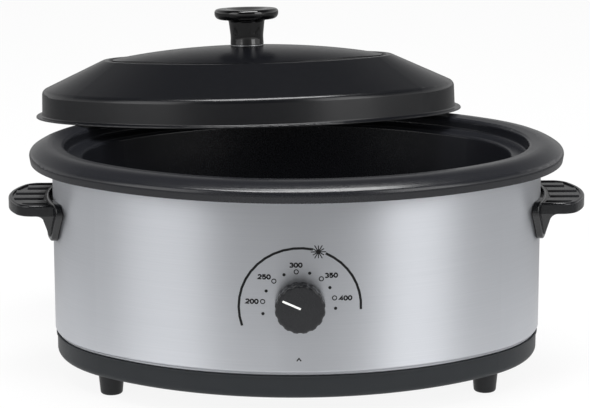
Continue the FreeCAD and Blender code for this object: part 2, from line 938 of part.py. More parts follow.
def make_thermostat_nut():
    """Hexagon nut on the neck, in front of the wrapper."""
    body = front_body("thermostat_nut")
    hexagon = new_sketch(body, "nut_hexagon")
    half = size.nut_flats / 2
    point = size.nut_flats / root(length(3.0))
    corners = [
        (point, 0.0),
        (point / 2, half),
        (-point / 2, half),
        (-point, 0.0),
        (-point / 2, -half),
        (point / 2, -half),
    ]
    outline(hexagon, corners)
    circle(hexagon, 0.0, 0.0, size.threaded_radius + size.threaded_clearance)
    pad(body, hexagon, size.nut_thickness)


def shaft_profile(sketch, clearance=0.0):
    """Circle with one flat, above the axis."""
    radius = size.shaft_radius + clearance
    flat = size.shaft_flat + clearance
    reach = math.asin(flat.value / radius.value)
    arc = Part.ArcOfCircle(Part.Circle(Vector(), UP, radius.value), math.pi - reach, 2 * math.pi + reach)
    edge = Part.LineSegment(arc.EndPoint, arc.StartPoint)
    round_side = sketch.addGeometry(arc, False)
    flat_side = sketch.addGeometry(edge, False)
    add(sketch, "Coincident", round_side, 3, -1, 1)
    add(sketch, "Radius", round_side, radius)
    add(sketch, "Coincident", round_side, 2, flat_side, 1)
    add(sketch, "Coincident", flat_side, 2, round_side, 1)
    add(sketch, "Horizontal", flat_side)
    add(sketch, "DistanceY", -1, 1, flat_side, 1, flat)


def make_thermostat_shaft():
    body = front_body("thermostat_shaft")
    section = new_sketch(body, "shaft_section", offset=-bracket_back)
    shaft_profile(section)
    pad(body, section, bracket_back + size.shaft_length)


def make_control_knob():
    """Scalloped knob: a skirt round the nut and a hub on the shaft's flat."""
    body = front_body("control_knob")
    disc = new_sketch(body, "knob_disc", offset=size.knob_stand_off)
    circle(disc, 0.0, 0.0, size.knob_radius)
    pad(body, disc, size.knob_depth)
    scallop = new_sketch(body, "knob_scallop", offset=knob_front)
    circle(scallop, size.knob_radius - size.scallop_depth + size.scallop_radius, 0.0, size.scallop_radius)
    cut = pocket(body, scallop)
    grip = polar_pattern(body, cut, size.knob_scallops)
    fillet(body, grip, size.knob_edge, flat_at(knob_front))
    inside = new_sketch(body, "knob_inside", offset=size.knob_stand_off)
    circle(inside, 0.0, 0.0, size.knob_radius - size.scallop_depth - size.knob_skirt)
    circle(inside, 0.0, 0.0, size.knob_hub_radius)
    pocket(body, inside, size.knob_depth - size.knob_face, forward=True)
    back = new_sketch(body, "knob_hub_back", offset=size.knob_stand_off)
    circle(back, 0.0, 0.0, size.knob_hub_radius + size.shaft_clearance)
    pocket(body, back, size.threaded_length, forward=True)
    bore = new_sketch(body, "knob_bore", offset=size.knob_stand_off)
    shaft_profile(bore, size.shaft_clearance)
    pocket(body, bore, size.shaft_length + size.shaft_end_gap - size.knob_stand_off, forward=True)


# Handles: built at the right end, the left one is the same turned half round

# The end arc of a shelf takes this share of the turn, so a short straight joins it to each corner.
BLEND = 0.95
handle_seat = size.shell_half_length + size.handle_clearance
handle_face = handle_seat + size.shield_thickness
handle_root = size.shell_half_length - size.handle_half_width
handle_tip = handle_face + size.handle_reach


def make_handle(label, rotation):
    """Moulded handle: a shield that follows the wrapper, a hollow ribbed shelf and a gusset under it."""
    body = new_body(label, z=size.handle_height, rotation=rotation)
    make_shield(body, label)
    make_shelf(body, label)
    make_ribs(body, label)
    make_gusset(body, label)
    inside = new_sketch(body, f"{label}_inside")
    oval(inside, handle_seat)
    pocket(body, inside, symmetric=True)
    relief = new_sketch(body, f"{label}_relief", offset=size.shield_top)
    sector(relief, handle_seat - size.relief_width, handle_seat + size.relief_width, size.relief_half_width)
    pocket(body, relief, size.relief_depth)
    holes = new_sketch(body, f"{label}_holes", "YZ_Plane", offset=handle_root)
    for y, z in handle_screw_places().values():
        circle(holes, y, z - size.handle_height, screw_hole)
    pocket(body, holes, handle_seat + size.handle_screw_bite - handle_root, forward=True)


def make_gusset(body, label):
    """Cheeks under the shelf's sides, as wide as the shelf above and the shield below, and a block for the
    screws between them."""
    cheeks = new_sketch(body, f"{label}_cheeks", "YZ_Plane", offset=handle_root)
    high = size.handle_half_width
    low = size.shield_bottom_half_width - size.cheek_corner
    under = size.handle_thickness - size.field_depth - size.handle_skin / 2
    corners = [
        (-low, -size.cheek_drop, size.cheek_corner),
        (low, -size.cheek_drop, size.cheek_corner),
        (high, 0.0),
        (high, under),
        (-high, under),
        (-high, 0.0),
    ]
    outline(cheeks, corners)
    reach = handle_face + size.cheek_reach
    pad(body, cheeks, reach + size.cheek_round - handle_root)
    slope = new_sketch(body, f"{label}_slope", "XZ_Plane")
    far = handle_tip * 2
    corners = [
        (handle_face - size.cheek_inset, -size.cheek_drop),
        (far, -size.cheek_drop),
        (far, 0.0),
        (reach, 0.0, size.cheek_round),
    ]
    outline(slope, corners)
    pocket(body, slope, symmetric=True)
    block = new_sketch(body, f"{label}_gusset", "XZ_Plane")
    corners = [
        (handle_root, -size.gusset_drop),
        (handle_face - size.shield_thickness / 4, -size.gusset_drop),
        (handle_face + size.gusset_reach, 0.0),
        (handle_face + size.gusset_reach, under),
        (handle_root, under),
    ]
    outline(block, corners)
    pad(body, block, size.gusset_half_width * 2, symmetric=True)


def make_shield(body, label):
    """Shield against the wrapper, narrower below, with its outer edges rounded."""
    plan = new_sketch(body, f"{label}_shield", offset=-size.shield_bottom)
    sector(plan, handle_seat, handle_face, size.shield_top_half_width * 1.2)
    pad(body, plan, size.shield_top + size.shield_bottom)
    sides = new_sketch(body, f"{label}_shield_sides", "YZ_Plane")
    low = size.shield_bottom_half_width
    high = size.shield_top_half_width
    round_corner = size.shield_corner
    outline(
        sides,
        [
            (-low, -size.shield_bottom, round_corner),
            (low, -size.shield_bottom, round_corner),
            (high, size.shield_top, round_corner),
            (-high, size.shield_top, round_corner),
        ],
    )
    far = size.shield_top_half_width * 2
    outline(sides, [(-far, -far), (far, -far), (far, far), (-far, far)])
    trimmed = pocket(body, sides, forward=True)
    fillet(body, trimmed, size.shield_edge, beyond(handle_face - size.shield_edge / 10))


def sector(sketch, inner, outer, half_chord):
    """Part of an oval ring about its right end, wide enough for the half chord on each side."""
    centre = size.oval_end_centre
    radii = (inner - centre, outer - centre)
    turn = math.asin(half_chord.value / radii[1].value)
    arcs = []
    for radius in radii:
        shape = Part.ArcOfCircle(Part.Circle(Vector(centre.value, 0, 0), UP, radius.value), -turn, turn)
        arcs.append(sketch.addGeometry(shape, False))
        fix_point(sketch, arcs[-1], 3, centre, 0.0)
        add(sketch, "Radius", arcs[-1], radius)
        add(sketch, "DistanceY", arcs[-1], 1, -1, 1, half_chord)
        add(sketch, "DistanceY", -1, 1, arcs[-1], 2, half_chord)
    for end in (1, 2):
        points = [sketch.getPoint(arc, end) for arc in arcs]
        line = sketch.addGeometry(Part.LineSegment(*points), False)
        add(sketch, "Coincident", line, 1, arcs[0], end)
        add(sketch, "Coincident", line, 2, arcs[1], end)


def beyond(half_length):
    """Test for an edge whose middle lies outside the oval with this half length, at the right end."""
    def chosen(edge):
        middle = edge.valueAt((edge.FirstParameter + edge.LastParameter) / 2)
        reach = math.hypot(middle.x - size.oval_end_centre.value, middle.y)
        return reach > (half_length - size.oval_end_centre).value
    return chosen


def shelf_outline(sketch, inset, root_radius=None):
    """Plan of the shelf, moved in by the inset; its root is square, or an arc about the oval's end."""
    half = size.handle_half_width - inset
    corner = size.handle_corner - inset
    end = size.handle_end_radius - inset
    across = size.handle_half_width - size.handle_corner
    rise = across / (size.handle_end_radius - size.handle_corner) * BLEND
    run = root(length(1.0) - rise * rise)
    tip = handle_tip - size.handle_end_radius + end / run
    shoulder = tip - half * rise / run
    corners = [(shoulder, -half, corner), (tip, 0.0, end), (shoulder, half, corner)]
    if root_radius is None:
        corners += [(handle_root, half), (handle_root, -half)]
    else:
        rise = half / root_radius * BLEND
        run = root(length(1.0) - rise * rise)
        middle = size.oval_end_centre + root_radius / run
        side = middle - half * rise / run
        corners += [(side, half), (middle, 0.0, root_radius), (side, -half)]
    outline(sketch, corners)


def make_shelf(body, label):
    """Flat shelf with a rounded upper edge, a sunk field for the ribs, and hollow from below."""
    shelf = new_sketch(body, f"{label}_shelf")
    shelf_outline(shelf, length(0.0))
    top = pad(body, shelf, size.handle_thickness)
    upper = flat_at(size.handle_thickness)
    outer = beyond(handle_face + size.handle_edge / 4)
    fillet(body, top, size.handle_edge, lambda edge: upper(edge) and outer(edge))
    face_radius = handle_face - size.oval_end_centre
    field = new_sketch(body, f"{label}_field", offset=size.handle_thickness)
    shelf_outline(field, size.field_margin, face_radius + size.field_margin / 2)
    pocket(body, field, size.field_depth)
    hollow = new_sketch(body, f"{label}_hollow")
    shelf_outline(hollow, size.handle_skin, face_radius)
    pocket(body, hollow, size.handle_thickness - size.field_depth - size.handle_skin, forward=True)


def make_ribs(body, label):
    """Broad low ribs that run outwards in the shelf's sunk field."""
    half = size.rib_width / 2
    floor = size.handle_thickness - size.field_depth
    root_bend = handle_face + size.field_margin - size.oval_end_centre
    tip_bend = size.handle_end_radius - size.field_margin
    for index in range(int(size.rib_count.value)):
        y = size.rib_pitch * (index - (size.rib_count.value - 1) / 2)
        side = half + y * math.copysign(1, y.value)
        start = size.oval_end_centre + root(root_bend * root_bend - side * side)
        finish = handle_tip - size.handle_end_radius + root(tip_bend * tip_bend - side * side)
        rib = new_sketch(body, f"{label}_rib_{index + 1}", "YZ_Plane", offset=start)
        corners = [
            (y - half, floor - size.rib_height),
            (y + half, floor - size.rib_height),
            (y + half, floor),
            (y + half / 2, floor + size.rib_height, half),
            (y - half / 2, floor + size.rib_height, half),
            (y - half, floor),
        ]
        outline(rib, corners)
        pad(body, rib, finish - start)


def make_handle_screws():
    """Screws from inside the wrapper into each handle's gusset."""
    for side, sign in (("right", 1), ("left", -1)):
        for name, (y, z) in handle_screw_places().items():
            edge = size.handle_screw_spacing / 2 + size.screw_head_radius
            bend = shell_inside - size.oval_end_centre
            x = size.oval_end_centre + root(bend * bend - edge * edge)
            rotation = Rotation(Vector(0, 1, 0), 90 * sign)
            reach = handle_seat + size.handle_screw_bite - x
            screw(
                f"{side}_handle_screw_{name}",
                (x * sign, y, z),
                size.screw_head_radius,
                size.screw_head_height,
                size.screw_radius,
                reach,
                rotation=rotation,
            )


# Cookwell

cookwell_floor_half_length = cookwell_half_length - size.cookwell_taper
crown_half_length = ledge_half_length + size.crown_width
rim_half_length = crown_half_length + size.rim_width


def make_cookwell():
    """Enamelled pot: floor, wall, a ledge for the lid and a rolled rim that covers the wrapper's top."""
    body = new_body("cookwell", z=cookwell_base)
    floor_half_length = cookwell_floor_half_length - size.cookwell_corner * 2
    plan = new_sketch(body, "cookwell_floor")
    oval(plan, floor_half_length)
    pad(body, plan, size.cookwell_wall)
    path = new_sketch(body, "cookwell_path")
    oval(path, cookwell_half_length)
    section = new_sketch(body, "cookwell_section", "XZ_Plane")
    sheet_section(section, cookwell_corners(floor_half_length), size.cookwell_wall, side=-1)
    sweep(body, section, path)


def cookwell_corners(floor_half_length):
    """Upper and inner face of the pot, from the floor over the rim to its lower edge."""
    ledge = size.cookwell_depth
    riser = ledge + size.riser_height
    crown = riser + size.crown_rise
    return [
        (floor_half_length, size.cookwell_wall),
        (cookwell_floor_half_length, size.cookwell_wall, size.cookwell_corner),
        (cookwell_half_length, ledge, size.ledge_round),
        (ledge_half_length, ledge, size.ledge_round),
        (ledge_half_length, riser, size.riser_round),
        (crown_half_length, crown, size.crown_round),
        (rim_half_length, crown - size.rim_fall, size.rim_round),
        (rim_half_length - size.rim_lean, crown - size.rim_fall - size.rim_skirt),
    ]


# Lid

lid_flange_half_length = ledge_half_length - size.lid_clearance
lid_skirt_half_length = lid_flange_half_length - size.lid_lip_width
lid_slope_half_length = lid_skirt_half_length - size.lid_slope_width


def half_length_at(x, y):
    """Half length of the oval through a point."""
    x = abs(x)
    y = abs(y)
    end = size.oval_end_centre.value
    side = size.oval_side_centre.value
    if math.atan2(y, x - end) <= math.atan2(side, end):
        return end + math.hypot(x - end, y)
    return math.hypot(x, y + side) - centre_distance.value + end


def oval_points(half_length, count):
    """Points along an oval, by the angle about its middle."""
    points = []
    for index in range(count):
        angle = 2 * math.pi * index / count
        way = Vector(math.cos(angle), math.sin(angle), 0)
        low, high = 0.0, 2 * half_length
        for _ in range(40):
            middle = (low + high) / 2
            if half_length_at(way.x * middle, way.y * middle) < half_length:
                low = middle
            else:
                high = middle
        points.append(way * low)
    return points


def lid_rest():
    """Placement of the lid: its lip rests on the crown of the rim where the two cross."""
    turn = Rotation(Vector(0, 1, 0), size.lid_roll.value) * Rotation(Vector(1, 0, 0), size.lid_tilt.value)
    normal = turn.multVec(UP)
    floor_half_length = cookwell_floor_half_length - size.cookwell_corner * 2
    _, points, radii = spread(cookwell_corners(floor_half_length))
    crown = corners_of(points, radii, False)[5]
    at = Vector(size.lid_rest_x.value, size.lid_rest_y.value, shell_top.value)
    lip = lid_flange_half_length.value
    height = 0.0
    steps = 12
    for step in range(steps + 1):
        reach = crown.start.x + (crown.finish.x - crown.start.x) * step / steps
        rise = crown.centre.y + math.sqrt(crown.radius**2 - (reach - crown.centre.x) ** 2)
        top = cookwell_base.value + rise + size.lid_rest_gap.value
        for point in oval_points(reach, 720):
            local = turn.inverted().multVec(point + Vector(0, 0, top) - at)
            if abs(half_length_at(local.x, local.y) - lip + size.lid_wall.value / 2) < size.lid_wall.value:
                slope = (normal.x * (point.x - at.x) + normal.y * (point.y - at.y)) / normal.z
                height = max(height, top + slope)
    return Placement(Vector(at.x, at.y, height), turn)


LID_REST = lid_rest()
dome_top = size.lid_slope_height + size.dome_rise
screw_seat = dome_top - size.lid_wall - size.seat_height
knob_seat = dome_top + size.seat_height


def lid_body(label, offset=0.0):
    """Body in the lid's own frame, raised by the offset along the lid's axis."""
    body = document.addObject("PartDesign::Body", label)
    body.Label = label
    body.Placement = LID_REST.multiply(Placement(Vector(0, 0, length(offset).value), Rotation()))
    return body


def make_lid_cover():
    """Domed lid: lip, skirt, straight slope, a raised bead, a groove and the crowned middle."""
    body = lid_body("lid_cover")
    bead = lid_slope_half_length - size.lid_bead_width
    edge = bead - size.lid_groove_width
    groove = size.lid_slope_height - size.lid_groove_drop
    for name, shrink, kind in (
        ("dome_outside", length(0.0), "PartDesign::AdditiveEllipsoid"),
        ("dome_inside", size.lid_wall, "PartDesign::SubtractiveEllipsoid"),
    ):
        bowl = body.newObject(kind, name)
        height = size.dome_depth + size.dome_rise
        share = root(length(1.0) - size.dome_depth * size.dome_depth / (height * height))
        bind(bowl, "Radius1", height - shrink)
        bind(bowl, "Radius2", edge / share - shrink)
        bind(bowl, "Radius3", half_width(edge) / share - shrink)
        bowl.Angle1 = -90
        bowl.Angle2 = 90
        bowl.Angle3 = 360
        attach(body, bowl, "XY_Plane", size.lid_slope_height - size.dome_depth)
        made(bowl)
    below = new_sketch(body, "dome_below", offset=groove)
    far = lid_flange_half_length * 4
    outline(below, [(-far, -far), (far, -far), (far, far), (-far, far)])
    pocket(body, below)
    around = new_sketch(body, "dome_around")
    oval(around, edge)
    outline(around, [(-far, -far), (far, -far), (far, far), (-far, far)])
    pocket(body, around, forward=True)
    path = new_sketch(body, "lid_path")
    oval(path, lid_skirt_half_length)
    section = new_sketch(body, "lid_section", "XZ_Plane")
    corners = [
        (lid_flange_half_length, 0.0),
        (lid_flange_half_length, size.lid_lip_height, size.lid_lip_round),
        (lid_skirt_half_length, size.lid_lip_height, size.lid_lip_round),
        (lid_skirt_half_length - size.lid_lean, size.lid_skirt_height, size.lid_shoulder),
        (lid_slope_half_length, size.lid_slope_height, size.lid_slope_round),
        (bead, size.lid_slope_height, size.lid_bead_round),
        (bead, groove, size.lid_groove_round),
        (edge, groove, size.lid_groove_round),
        (edge, size.lid_slope_height - size.lid_wall / 2),
    ]
    sheet_section(section, corners, size.lid_wall)
    sweep(body, section, path)
    seat = new_sketch(body, "lid_seat", offset=screw_seat)
    circle(seat, 0.0, 0.0, size.seat_radius)
    pad(body, seat, knob_seat - screw_seat)
    hole = new_sketch(body, "lid_hole", offset=dome_top)
    circle(hole, 0.0, 0.0, size.lid_screw_radius + size.screw_clearance)
    pocket(body, hole, symmetric=True)


def make_lid_washer():
    body = lid_body("lid_washer", knob_seat)
    disc = new_sketch(body, "lid_washer_disc")
    circle(disc, 0.0, 0.0, size.lid_washer_radius)
    circle(disc, 0.0, 0.0, size.lid_screw_radius + size.screw_clearance)
    pad(body, disc, size.lid_washer_thickness)


def make_lid_knob():
    """Turned knob: a waisted stem under a thick disc with a rounded edge and a dished top."""
    body = lid_body("lid_knob", knob_seat + size.lid_washer_thickness)
    section = new_sketch(body, "lid_knob_section", "XZ_Plane")
    under = size.lid_knob_height - size.lid_knob_disc
    corners = [
        (size.lid_screw_radius, 0.0),
        (size.lid_knob_base_radius, 0.0, size.lid_knob_base_round),
        (size.lid_knob_stem_radius, under / 3, size.lid_knob_radius),
        (size.lid_knob_neck_radius, under, size.lid_knob_edge),
        (size.lid_knob_radius, under, size.lid_knob_round),
        (size.lid_knob_radius, size.lid_knob_height, size.lid_knob_edge),
        (size.lid_knob_dish_radius, size.lid_knob_height, size.lid_knob_dish_round),
        (size.lid_knob_dish_radius / 2, size.lid_knob_height - size.lid_knob_dish, size.lid_knob_dish_round),
        (0.0, size.lid_knob_height - size.lid_knob_dish),
        (0.0, size.lid_knob_bore_depth),
        (size.lid_screw_radius, size.lid_knob_bore_depth),
    ]
    outline(section, corners)
    revolve(body, section)


def make_lid_screw():
    """Screw from under the dome up into the knob."""
    body = lid_body("lid_screw", screw_seat)
    section = new_sketch(body, "lid_screw_section", "XZ_Plane")
    head = size.lid_screw_head
    corners = [
        (0.0, -head),
        (size.lid_screw_head_radius, -head, head / 2),
        (size.lid_screw_head_radius, 0.0),
        (size.lid_screw_radius, 0.0),
        (size.lid_screw_radius, size.lid_screw_length),
        (0.0, size.lid_screw_length),
    ]
    outline(section, corners)
    revolve(body, section)


def build():
    make_base_pan()
    make_feet()
    make_foot_screws()
    make_outer_shell()
    make_cord_bushing()
    make_heating_well()
    make_heating_band()
    make_band_bolt()
    make_insulation_blanket()
    make_thermal_cutout()
    make_thermostat_body()
    make_thermostat_bracket()
    make_thermostat_spacer()
    make_thermostat_nut()
    make_thermostat_shaft()
    make_control_knob()
    make_handle("right_handle", Rotation())
    make_handle("left_handle", Rotation(UP, 180))
    make_handle_screws()
    make_cookwell()
    make_lid_cover()
    make_lid_washer()
    make_lid_knob()
    make_lid_screw()


def write_parts():
    """Checks every object, then writes one file for each sub-part."""
    document.recompute()
    for item in document.Objects:
        if "Invalid" in item.State or "Error" in item.State:
            raise RuntimeError(f"{item.Name}: {item.State}")
    os.makedirs("parts", exist_ok=True)
    for item in document.Objects:
        if item.TypeId != "PartDesign::Body":
            continue
        shape = item.Shape
        if shape.isNull() or not shape.isValid() or shape.Volume <= 0:
            raise RuntimeError(f"{item.Label} has no sound shape")
        shape.exportStep(f"parts/{item.Label}.step")
        print(f"{item.Label:28s} {len(shape.Solids)} solid, {shape.Volume / 1000:9.2f} cm3")


build()
write_parts()
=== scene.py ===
"""Looks for the electric roaster oven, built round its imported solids. In metres, +Y is back, +Z is up."""

import math

import bpy
from mathutils import Matrix, Vector


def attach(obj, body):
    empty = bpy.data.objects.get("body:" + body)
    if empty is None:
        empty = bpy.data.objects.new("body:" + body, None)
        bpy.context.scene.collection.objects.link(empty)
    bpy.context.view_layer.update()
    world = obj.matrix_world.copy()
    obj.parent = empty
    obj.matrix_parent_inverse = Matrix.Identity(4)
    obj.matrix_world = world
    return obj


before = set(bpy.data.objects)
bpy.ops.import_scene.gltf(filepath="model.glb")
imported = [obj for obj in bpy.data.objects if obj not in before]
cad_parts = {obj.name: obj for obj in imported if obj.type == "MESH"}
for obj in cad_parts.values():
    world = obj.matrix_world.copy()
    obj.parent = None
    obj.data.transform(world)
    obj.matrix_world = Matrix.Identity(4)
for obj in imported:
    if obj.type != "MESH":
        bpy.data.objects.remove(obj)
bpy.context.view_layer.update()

MM = 0.001

# The wrapper's front is an arc about a point of its short axis; the dial's middle is on that front.
WRAPPER_CENTRE_Y = 91.667 * MM
WRAPPER_FRONT_Y = -133.0 * MM
DIAL_HEIGHT = 84.5 * MM
KNOB_FACE_Y = WRAPPER_FRONT_Y - 9.8 * MM
INK_FILM = 0.05 * MM


# Colours and nodes


def linear(code):
    """sRGB hex colour as linear RGBA."""
    channels = [int(code[at : at + 2], 16) / 255 for at in (1, 3, 5)]
    toned = [c / 12.92 if c <= 0.04045 else ((c + 0.055) / 1.055) ** 2.4 for c in channels]
    return (*toned, 1.0)


def add_node(tree, kind, settings, inputs):
    """Adds a node; each input, by name or number, is a value or another node's output. A Mix node has its
    two numbers at 2 and 3 and its two colours at 6 and 7."""
    item = tree.nodes.new(kind)
    for name, value in settings.items():
        setattr(item, name, value)
    for name, value in inputs.items():
        if isinstance(value, bpy.types.NodeSocket):
            tree.links.new(value, item.inputs[name])
        else:
            item.inputs[name].default_value = value
    return item


def new_material(name):
    """Empty material, its node tree and the place on the object that patterns are laid by."""
    material = bpy.data.materials.new(name)
    material.use_nodes = True
    tree = material.node_tree
    tree.nodes.clear()
    place = add_node(tree, "ShaderNodeTexCoord", {}, {}).outputs["Object"]
    return material, tree, place


# Finishes


def brushed_stainless_steel():
    """Stainless sheet, belt-brushed along its length: fine level lines that smear each light upwards and
    downwards. The real lines are about 0.1 mm apart, drawn at 0.6 mm to show."""
    material, tree, place = new_material("brushed_stainless_steel")
    line_length = 70 * MM
    line_gap = 0.6 * MM
    cloud_size = 45 * MM
    along = (1 / line_length, 1 / line_length, 1 / line_gap)
    laid = add_node(tree, "ShaderNodeMapping", {}, {"Vector": place, "Scale": along}).outputs["Vector"]
    lines = add_node(
        tree, "ShaderNodeTexNoise", {}, {"Vector": laid, "Scale": 1.0, "Detail": 3.0, "Roughness": 0.6}
    ).outputs["Fac"]
    cloud = add_node(
        tree, "ShaderNodeTexNoise", {}, {"Vector": place, "Scale": 1 / cloud_size, "Detail": 2.0}
    ).outputs["Fac"]
    tint = add_node(
        tree,
        "ShaderNodeMix",
        {"data_type": "RGBA"},
        {"Factor": lines, 6: linear("#cccfd4"), 7: linear("#d7d9de")},
    ).outputs[2]
    smear = add_node(
        tree,
        "ShaderNodeMapRange",
        {},
        {"Value": cloud, "From Min": 0.3, "From Max": 0.7, "To Min": 0.42, "To Max": 0.47},
    ).outputs["Result"]
    scratch = add_node(
        tree, "ShaderNodeBump", {}, {"Height": lines, "Distance": 0.004 * MM, "Strength": 0.6}
    ).outputs["Normal"]
    around = add_node(
        tree, "ShaderNodeTangent", {"direction_type": "RADIAL", "axis": "Z"}, {}
    ).outputs["Tangent"]
    steel = add_node(
        tree,
        "ShaderNodeBsdfPrincipled",
        {},
        {
            "Base Color": tint,
            "Metallic": 1.0,
            "Roughness": smear,
            "Anisotropic": 0.85,
            "Anisotropic Rotation": 0.25,
            "Normal": scratch,
            "Tangent": around,
        },
    ).outputs["BSDF"]
    add_node(tree, "ShaderNodeOutputMaterial", {}, {"Surface": steel})
    return material


def porcelain_enamel(name, dark, light):
    """Black porcelain enamel, sprayed on sheet steel and fired: satin glass with an orange peel of about
    5 mm that makes its highlights waver, and faint flecks. The real flecks are under 0.5 mm, drawn at
    1.1 mm to show."""
    material, tree, place = new_material(name)
    peel_size = 5 * MM
    fleck_size = 1.1 * MM
    peel = add_node(
        tree, "ShaderNodeTexNoise", {}, {"Vector": place, "Scale": 1 / peel_size, "Detail": 1.0}
    ).outputs["Fac"]
    fleck = add_node(
        tree, "ShaderNodeTexNoise", {}, {"Vector": place, "Scale": 1 / fleck_size, "Detail": 1.0}
    ).outputs["Fac"]
    tint = add_node(
        tree, "ShaderNodeMix", {"data_type": "RGBA"}, {"Factor": fleck, 6: linear(dark), 7: linear(light)}
    ).outputs[2]
    satin = add_node(
        tree,
        "ShaderNodeMapRange",
        {},
        {"Value": peel, "From Min": 0.3, "From Max": 0.7, "To Min": 0.225, "To Max": 0.255},
    ).outputs["Result"]
    wave = add_node(
        tree, "ShaderNodeBump", {}, {"Height": peel, "Distance": 0.003 * MM, "Strength": 0.7}
    ).outputs["Normal"]
    enamel = add_node(
        tree,
        "ShaderNodeBsdfPrincipled",
        {},
        {"Base Color": tint, "Roughness": satin, "IOR": 1.5, "Normal": wave},
    ).outputs["BSDF"]
    add_node(tree, "ShaderNodeOutputMaterial", {}, {"Surface": enamel})
    return material


def moulded_plastic(name, dark, light, roughness, shine, grain_size, grain_depth):
    """Plastic moulded in a steel tool: the tool's even grain takes the edge off its highlights, and the
    colour drifts a little where the melt flowed. The real grain is about 0.1 mm, drawn coarser."""
    material, tree, place = new_material(name)
    flow_size = 26 * MM
    dullest = roughness + 0.05
    shiniest = roughness - 0.05
    grain = add_node(
        tree, "ShaderNodeTexNoise", {}, {"Vector": place, "Scale": 1 / grain_size, "Detail": 2.0}
    ).outputs["Fac"]
    flow = add_node(
        tree, "ShaderNodeTexNoise", {}, {"Vector": place, "Scale": 1 / flow_size, "Detail": 2.0}
    ).outputs["Fac"]
    tint = add_node(
        tree, "ShaderNodeMix", {"data_type": "RGBA"}, {"Factor": flow, 6: linear(dark), 7: linear(light)}
    ).outputs[2]
    sheen = add_node(
        tree,
        "ShaderNodeMapRange",
        {},
        {"Value": grain, "From Min": 0.3, "From Max": 0.7, "To Min": shiniest, "To Max": dullest},
    ).outputs["Result"]
    pits = add_node(
        tree, "ShaderNodeBump", {}, {"Height": grain, "Distance": grain_depth}
    ).outputs["Normal"]
    plastic = add_node(
        tree,
        "ShaderNodeBsdfPrincipled",
        {},
        {"Base Color": tint, "Roughness": sheen, "IOR": 1.5, "Specular IOR Level": shine, "Normal": pits},
    ).outputs["BSDF"]
    add_node(tree, "ShaderNodeOutputMaterial", {}, {"Surface": plastic})
    return material


def polished_phenolic():
    """Phenolic resin, compression moulded and tumble polished: deep black gloss, faint 5 mm swirls."""
    material, tree, place = new_material("polished_phenolic")
    swirl_size = 5 * MM
    swirl = add_node(
        tree, "ShaderNodeTexNoise", {}, {"Vector": place, "Scale": 1 / swirl_size, "Detail": 3.0}
    ).outputs["Fac"]
    tint = add_node(
        tree,
        "ShaderNodeMix",
        {"data_type": "RGBA"},
        {"Factor": swirl, 6: linear("#050506"), 7: linear("#09090b")},
    ).outputs[2]
    gloss = add_node(
        tree,
        "ShaderNodeMapRange",
        {},
        {"Value": swirl, "From Min": 0.3, "From Max": 0.7, "To Min": 0.07, "To Max": 0.11},
    ).outputs["Result"]
    wave = add_node(
        tree, "ShaderNodeBump", {}, {"Height": swirl, "Distance": 0.008 * MM}
    ).outputs["Normal"]
    resin = add_node(
        tree,
        "ShaderNodeBsdfPrincipled",
        {},
        {"Base Color": tint, "Roughness": gloss, "IOR": 1.6, "Normal": wave},
    ).outputs["BSDF"]
    add_node(tree, "ShaderNodeOutputMaterial", {}, {"Surface": resin})
    return material


def mottled_metal(name, dark, light, roughness, mottle_size, mottle_depth):
    """Metal left as it was rolled, plated or turned: a soft sheen that goes in patches."""
    material, tree, place = new_material(name)
    dullest = roughness + 0.06
    shiniest = roughness - 0.06
    mottle = add_node(
        tree, "ShaderNodeTexNoise", {}, {"Vector": place, "Scale": 1 / mottle_size, "Detail": 3.0}
    ).outputs["Fac"]
    tint = add_node(
        tree,
        "ShaderNodeMix",
        {"data_type": "RGBA"},
        {"Factor": mottle, 6: linear(dark), 7: linear(light)},
    ).outputs[2]
    sheen = add_node(
        tree,
        "ShaderNodeMapRange",
        {},
        {"Value": mottle, "From Min": 0.3, "From Max": 0.7, "To Min": shiniest, "To Max": dullest},
    ).outputs["Result"]
    wave = add_node(
        tree, "ShaderNodeBump", {}, {"Height": mottle, "Distance": mottle_depth}
    ).outputs["Normal"]
    metal = add_node(
        tree,
        "ShaderNodeBsdfPrincipled",
        {},
        {"Base Color": tint, "Metallic": 1.0, "Roughness": sheen, "Normal": wave},
    ).outputs["BSDF"]
    add_node(tree, "ShaderNodeOutputMaterial", {}, {"Surface": metal})
    return material


def needled_glass_fibre():
    """Glass-fibre mat, felted with needles: pale, matt and fuzzy. The real fibres are far under 0.1 mm,
    drawn at 1.5 mm to show."""
    material, tree, place = new_material("needled_glass_fibre")
    tuft_length = 4 * MM
    tuft_width = 1.5 * MM
    along = (1 / tuft_length, 1 / tuft_length, 1 / tuft_width)
    laid = add_node(tree, "ShaderNodeMapping", {}, {"Vector": place, "Scale": along}).outputs["Vector"]
    fibre = add_node(
        tree, "ShaderNodeTexNoise", {}, {"Vector": laid, "Scale": 1.0, "Detail": 5.0, "Roughness": 0.75}
    ).outputs["Fac"]
    tint = add_node(
        tree,
        "ShaderNodeMix",
        {"data_type": "RGBA"},
        {"Factor": fibre, 6: linear("#b9b39a"), 7: linear("#e4dfc9")},
    ).outputs[2]
    fuzz = add_node(tree, "ShaderNodeBump", {}, {"Height": fibre, "Distance": 0.6 * MM}).outputs["Normal"]
    mat = add_node(
        tree,
        "ShaderNodeBsdfPrincipled",
        {},
        {"Base Color": tint, "Roughness": 0.9, "Sheen Weight": 0.3, "Normal": fuzz},
    ).outputs["BSDF"]
    add_node(tree, "ShaderNodeOutputMaterial", {}, {"Surface": mat})
    return material


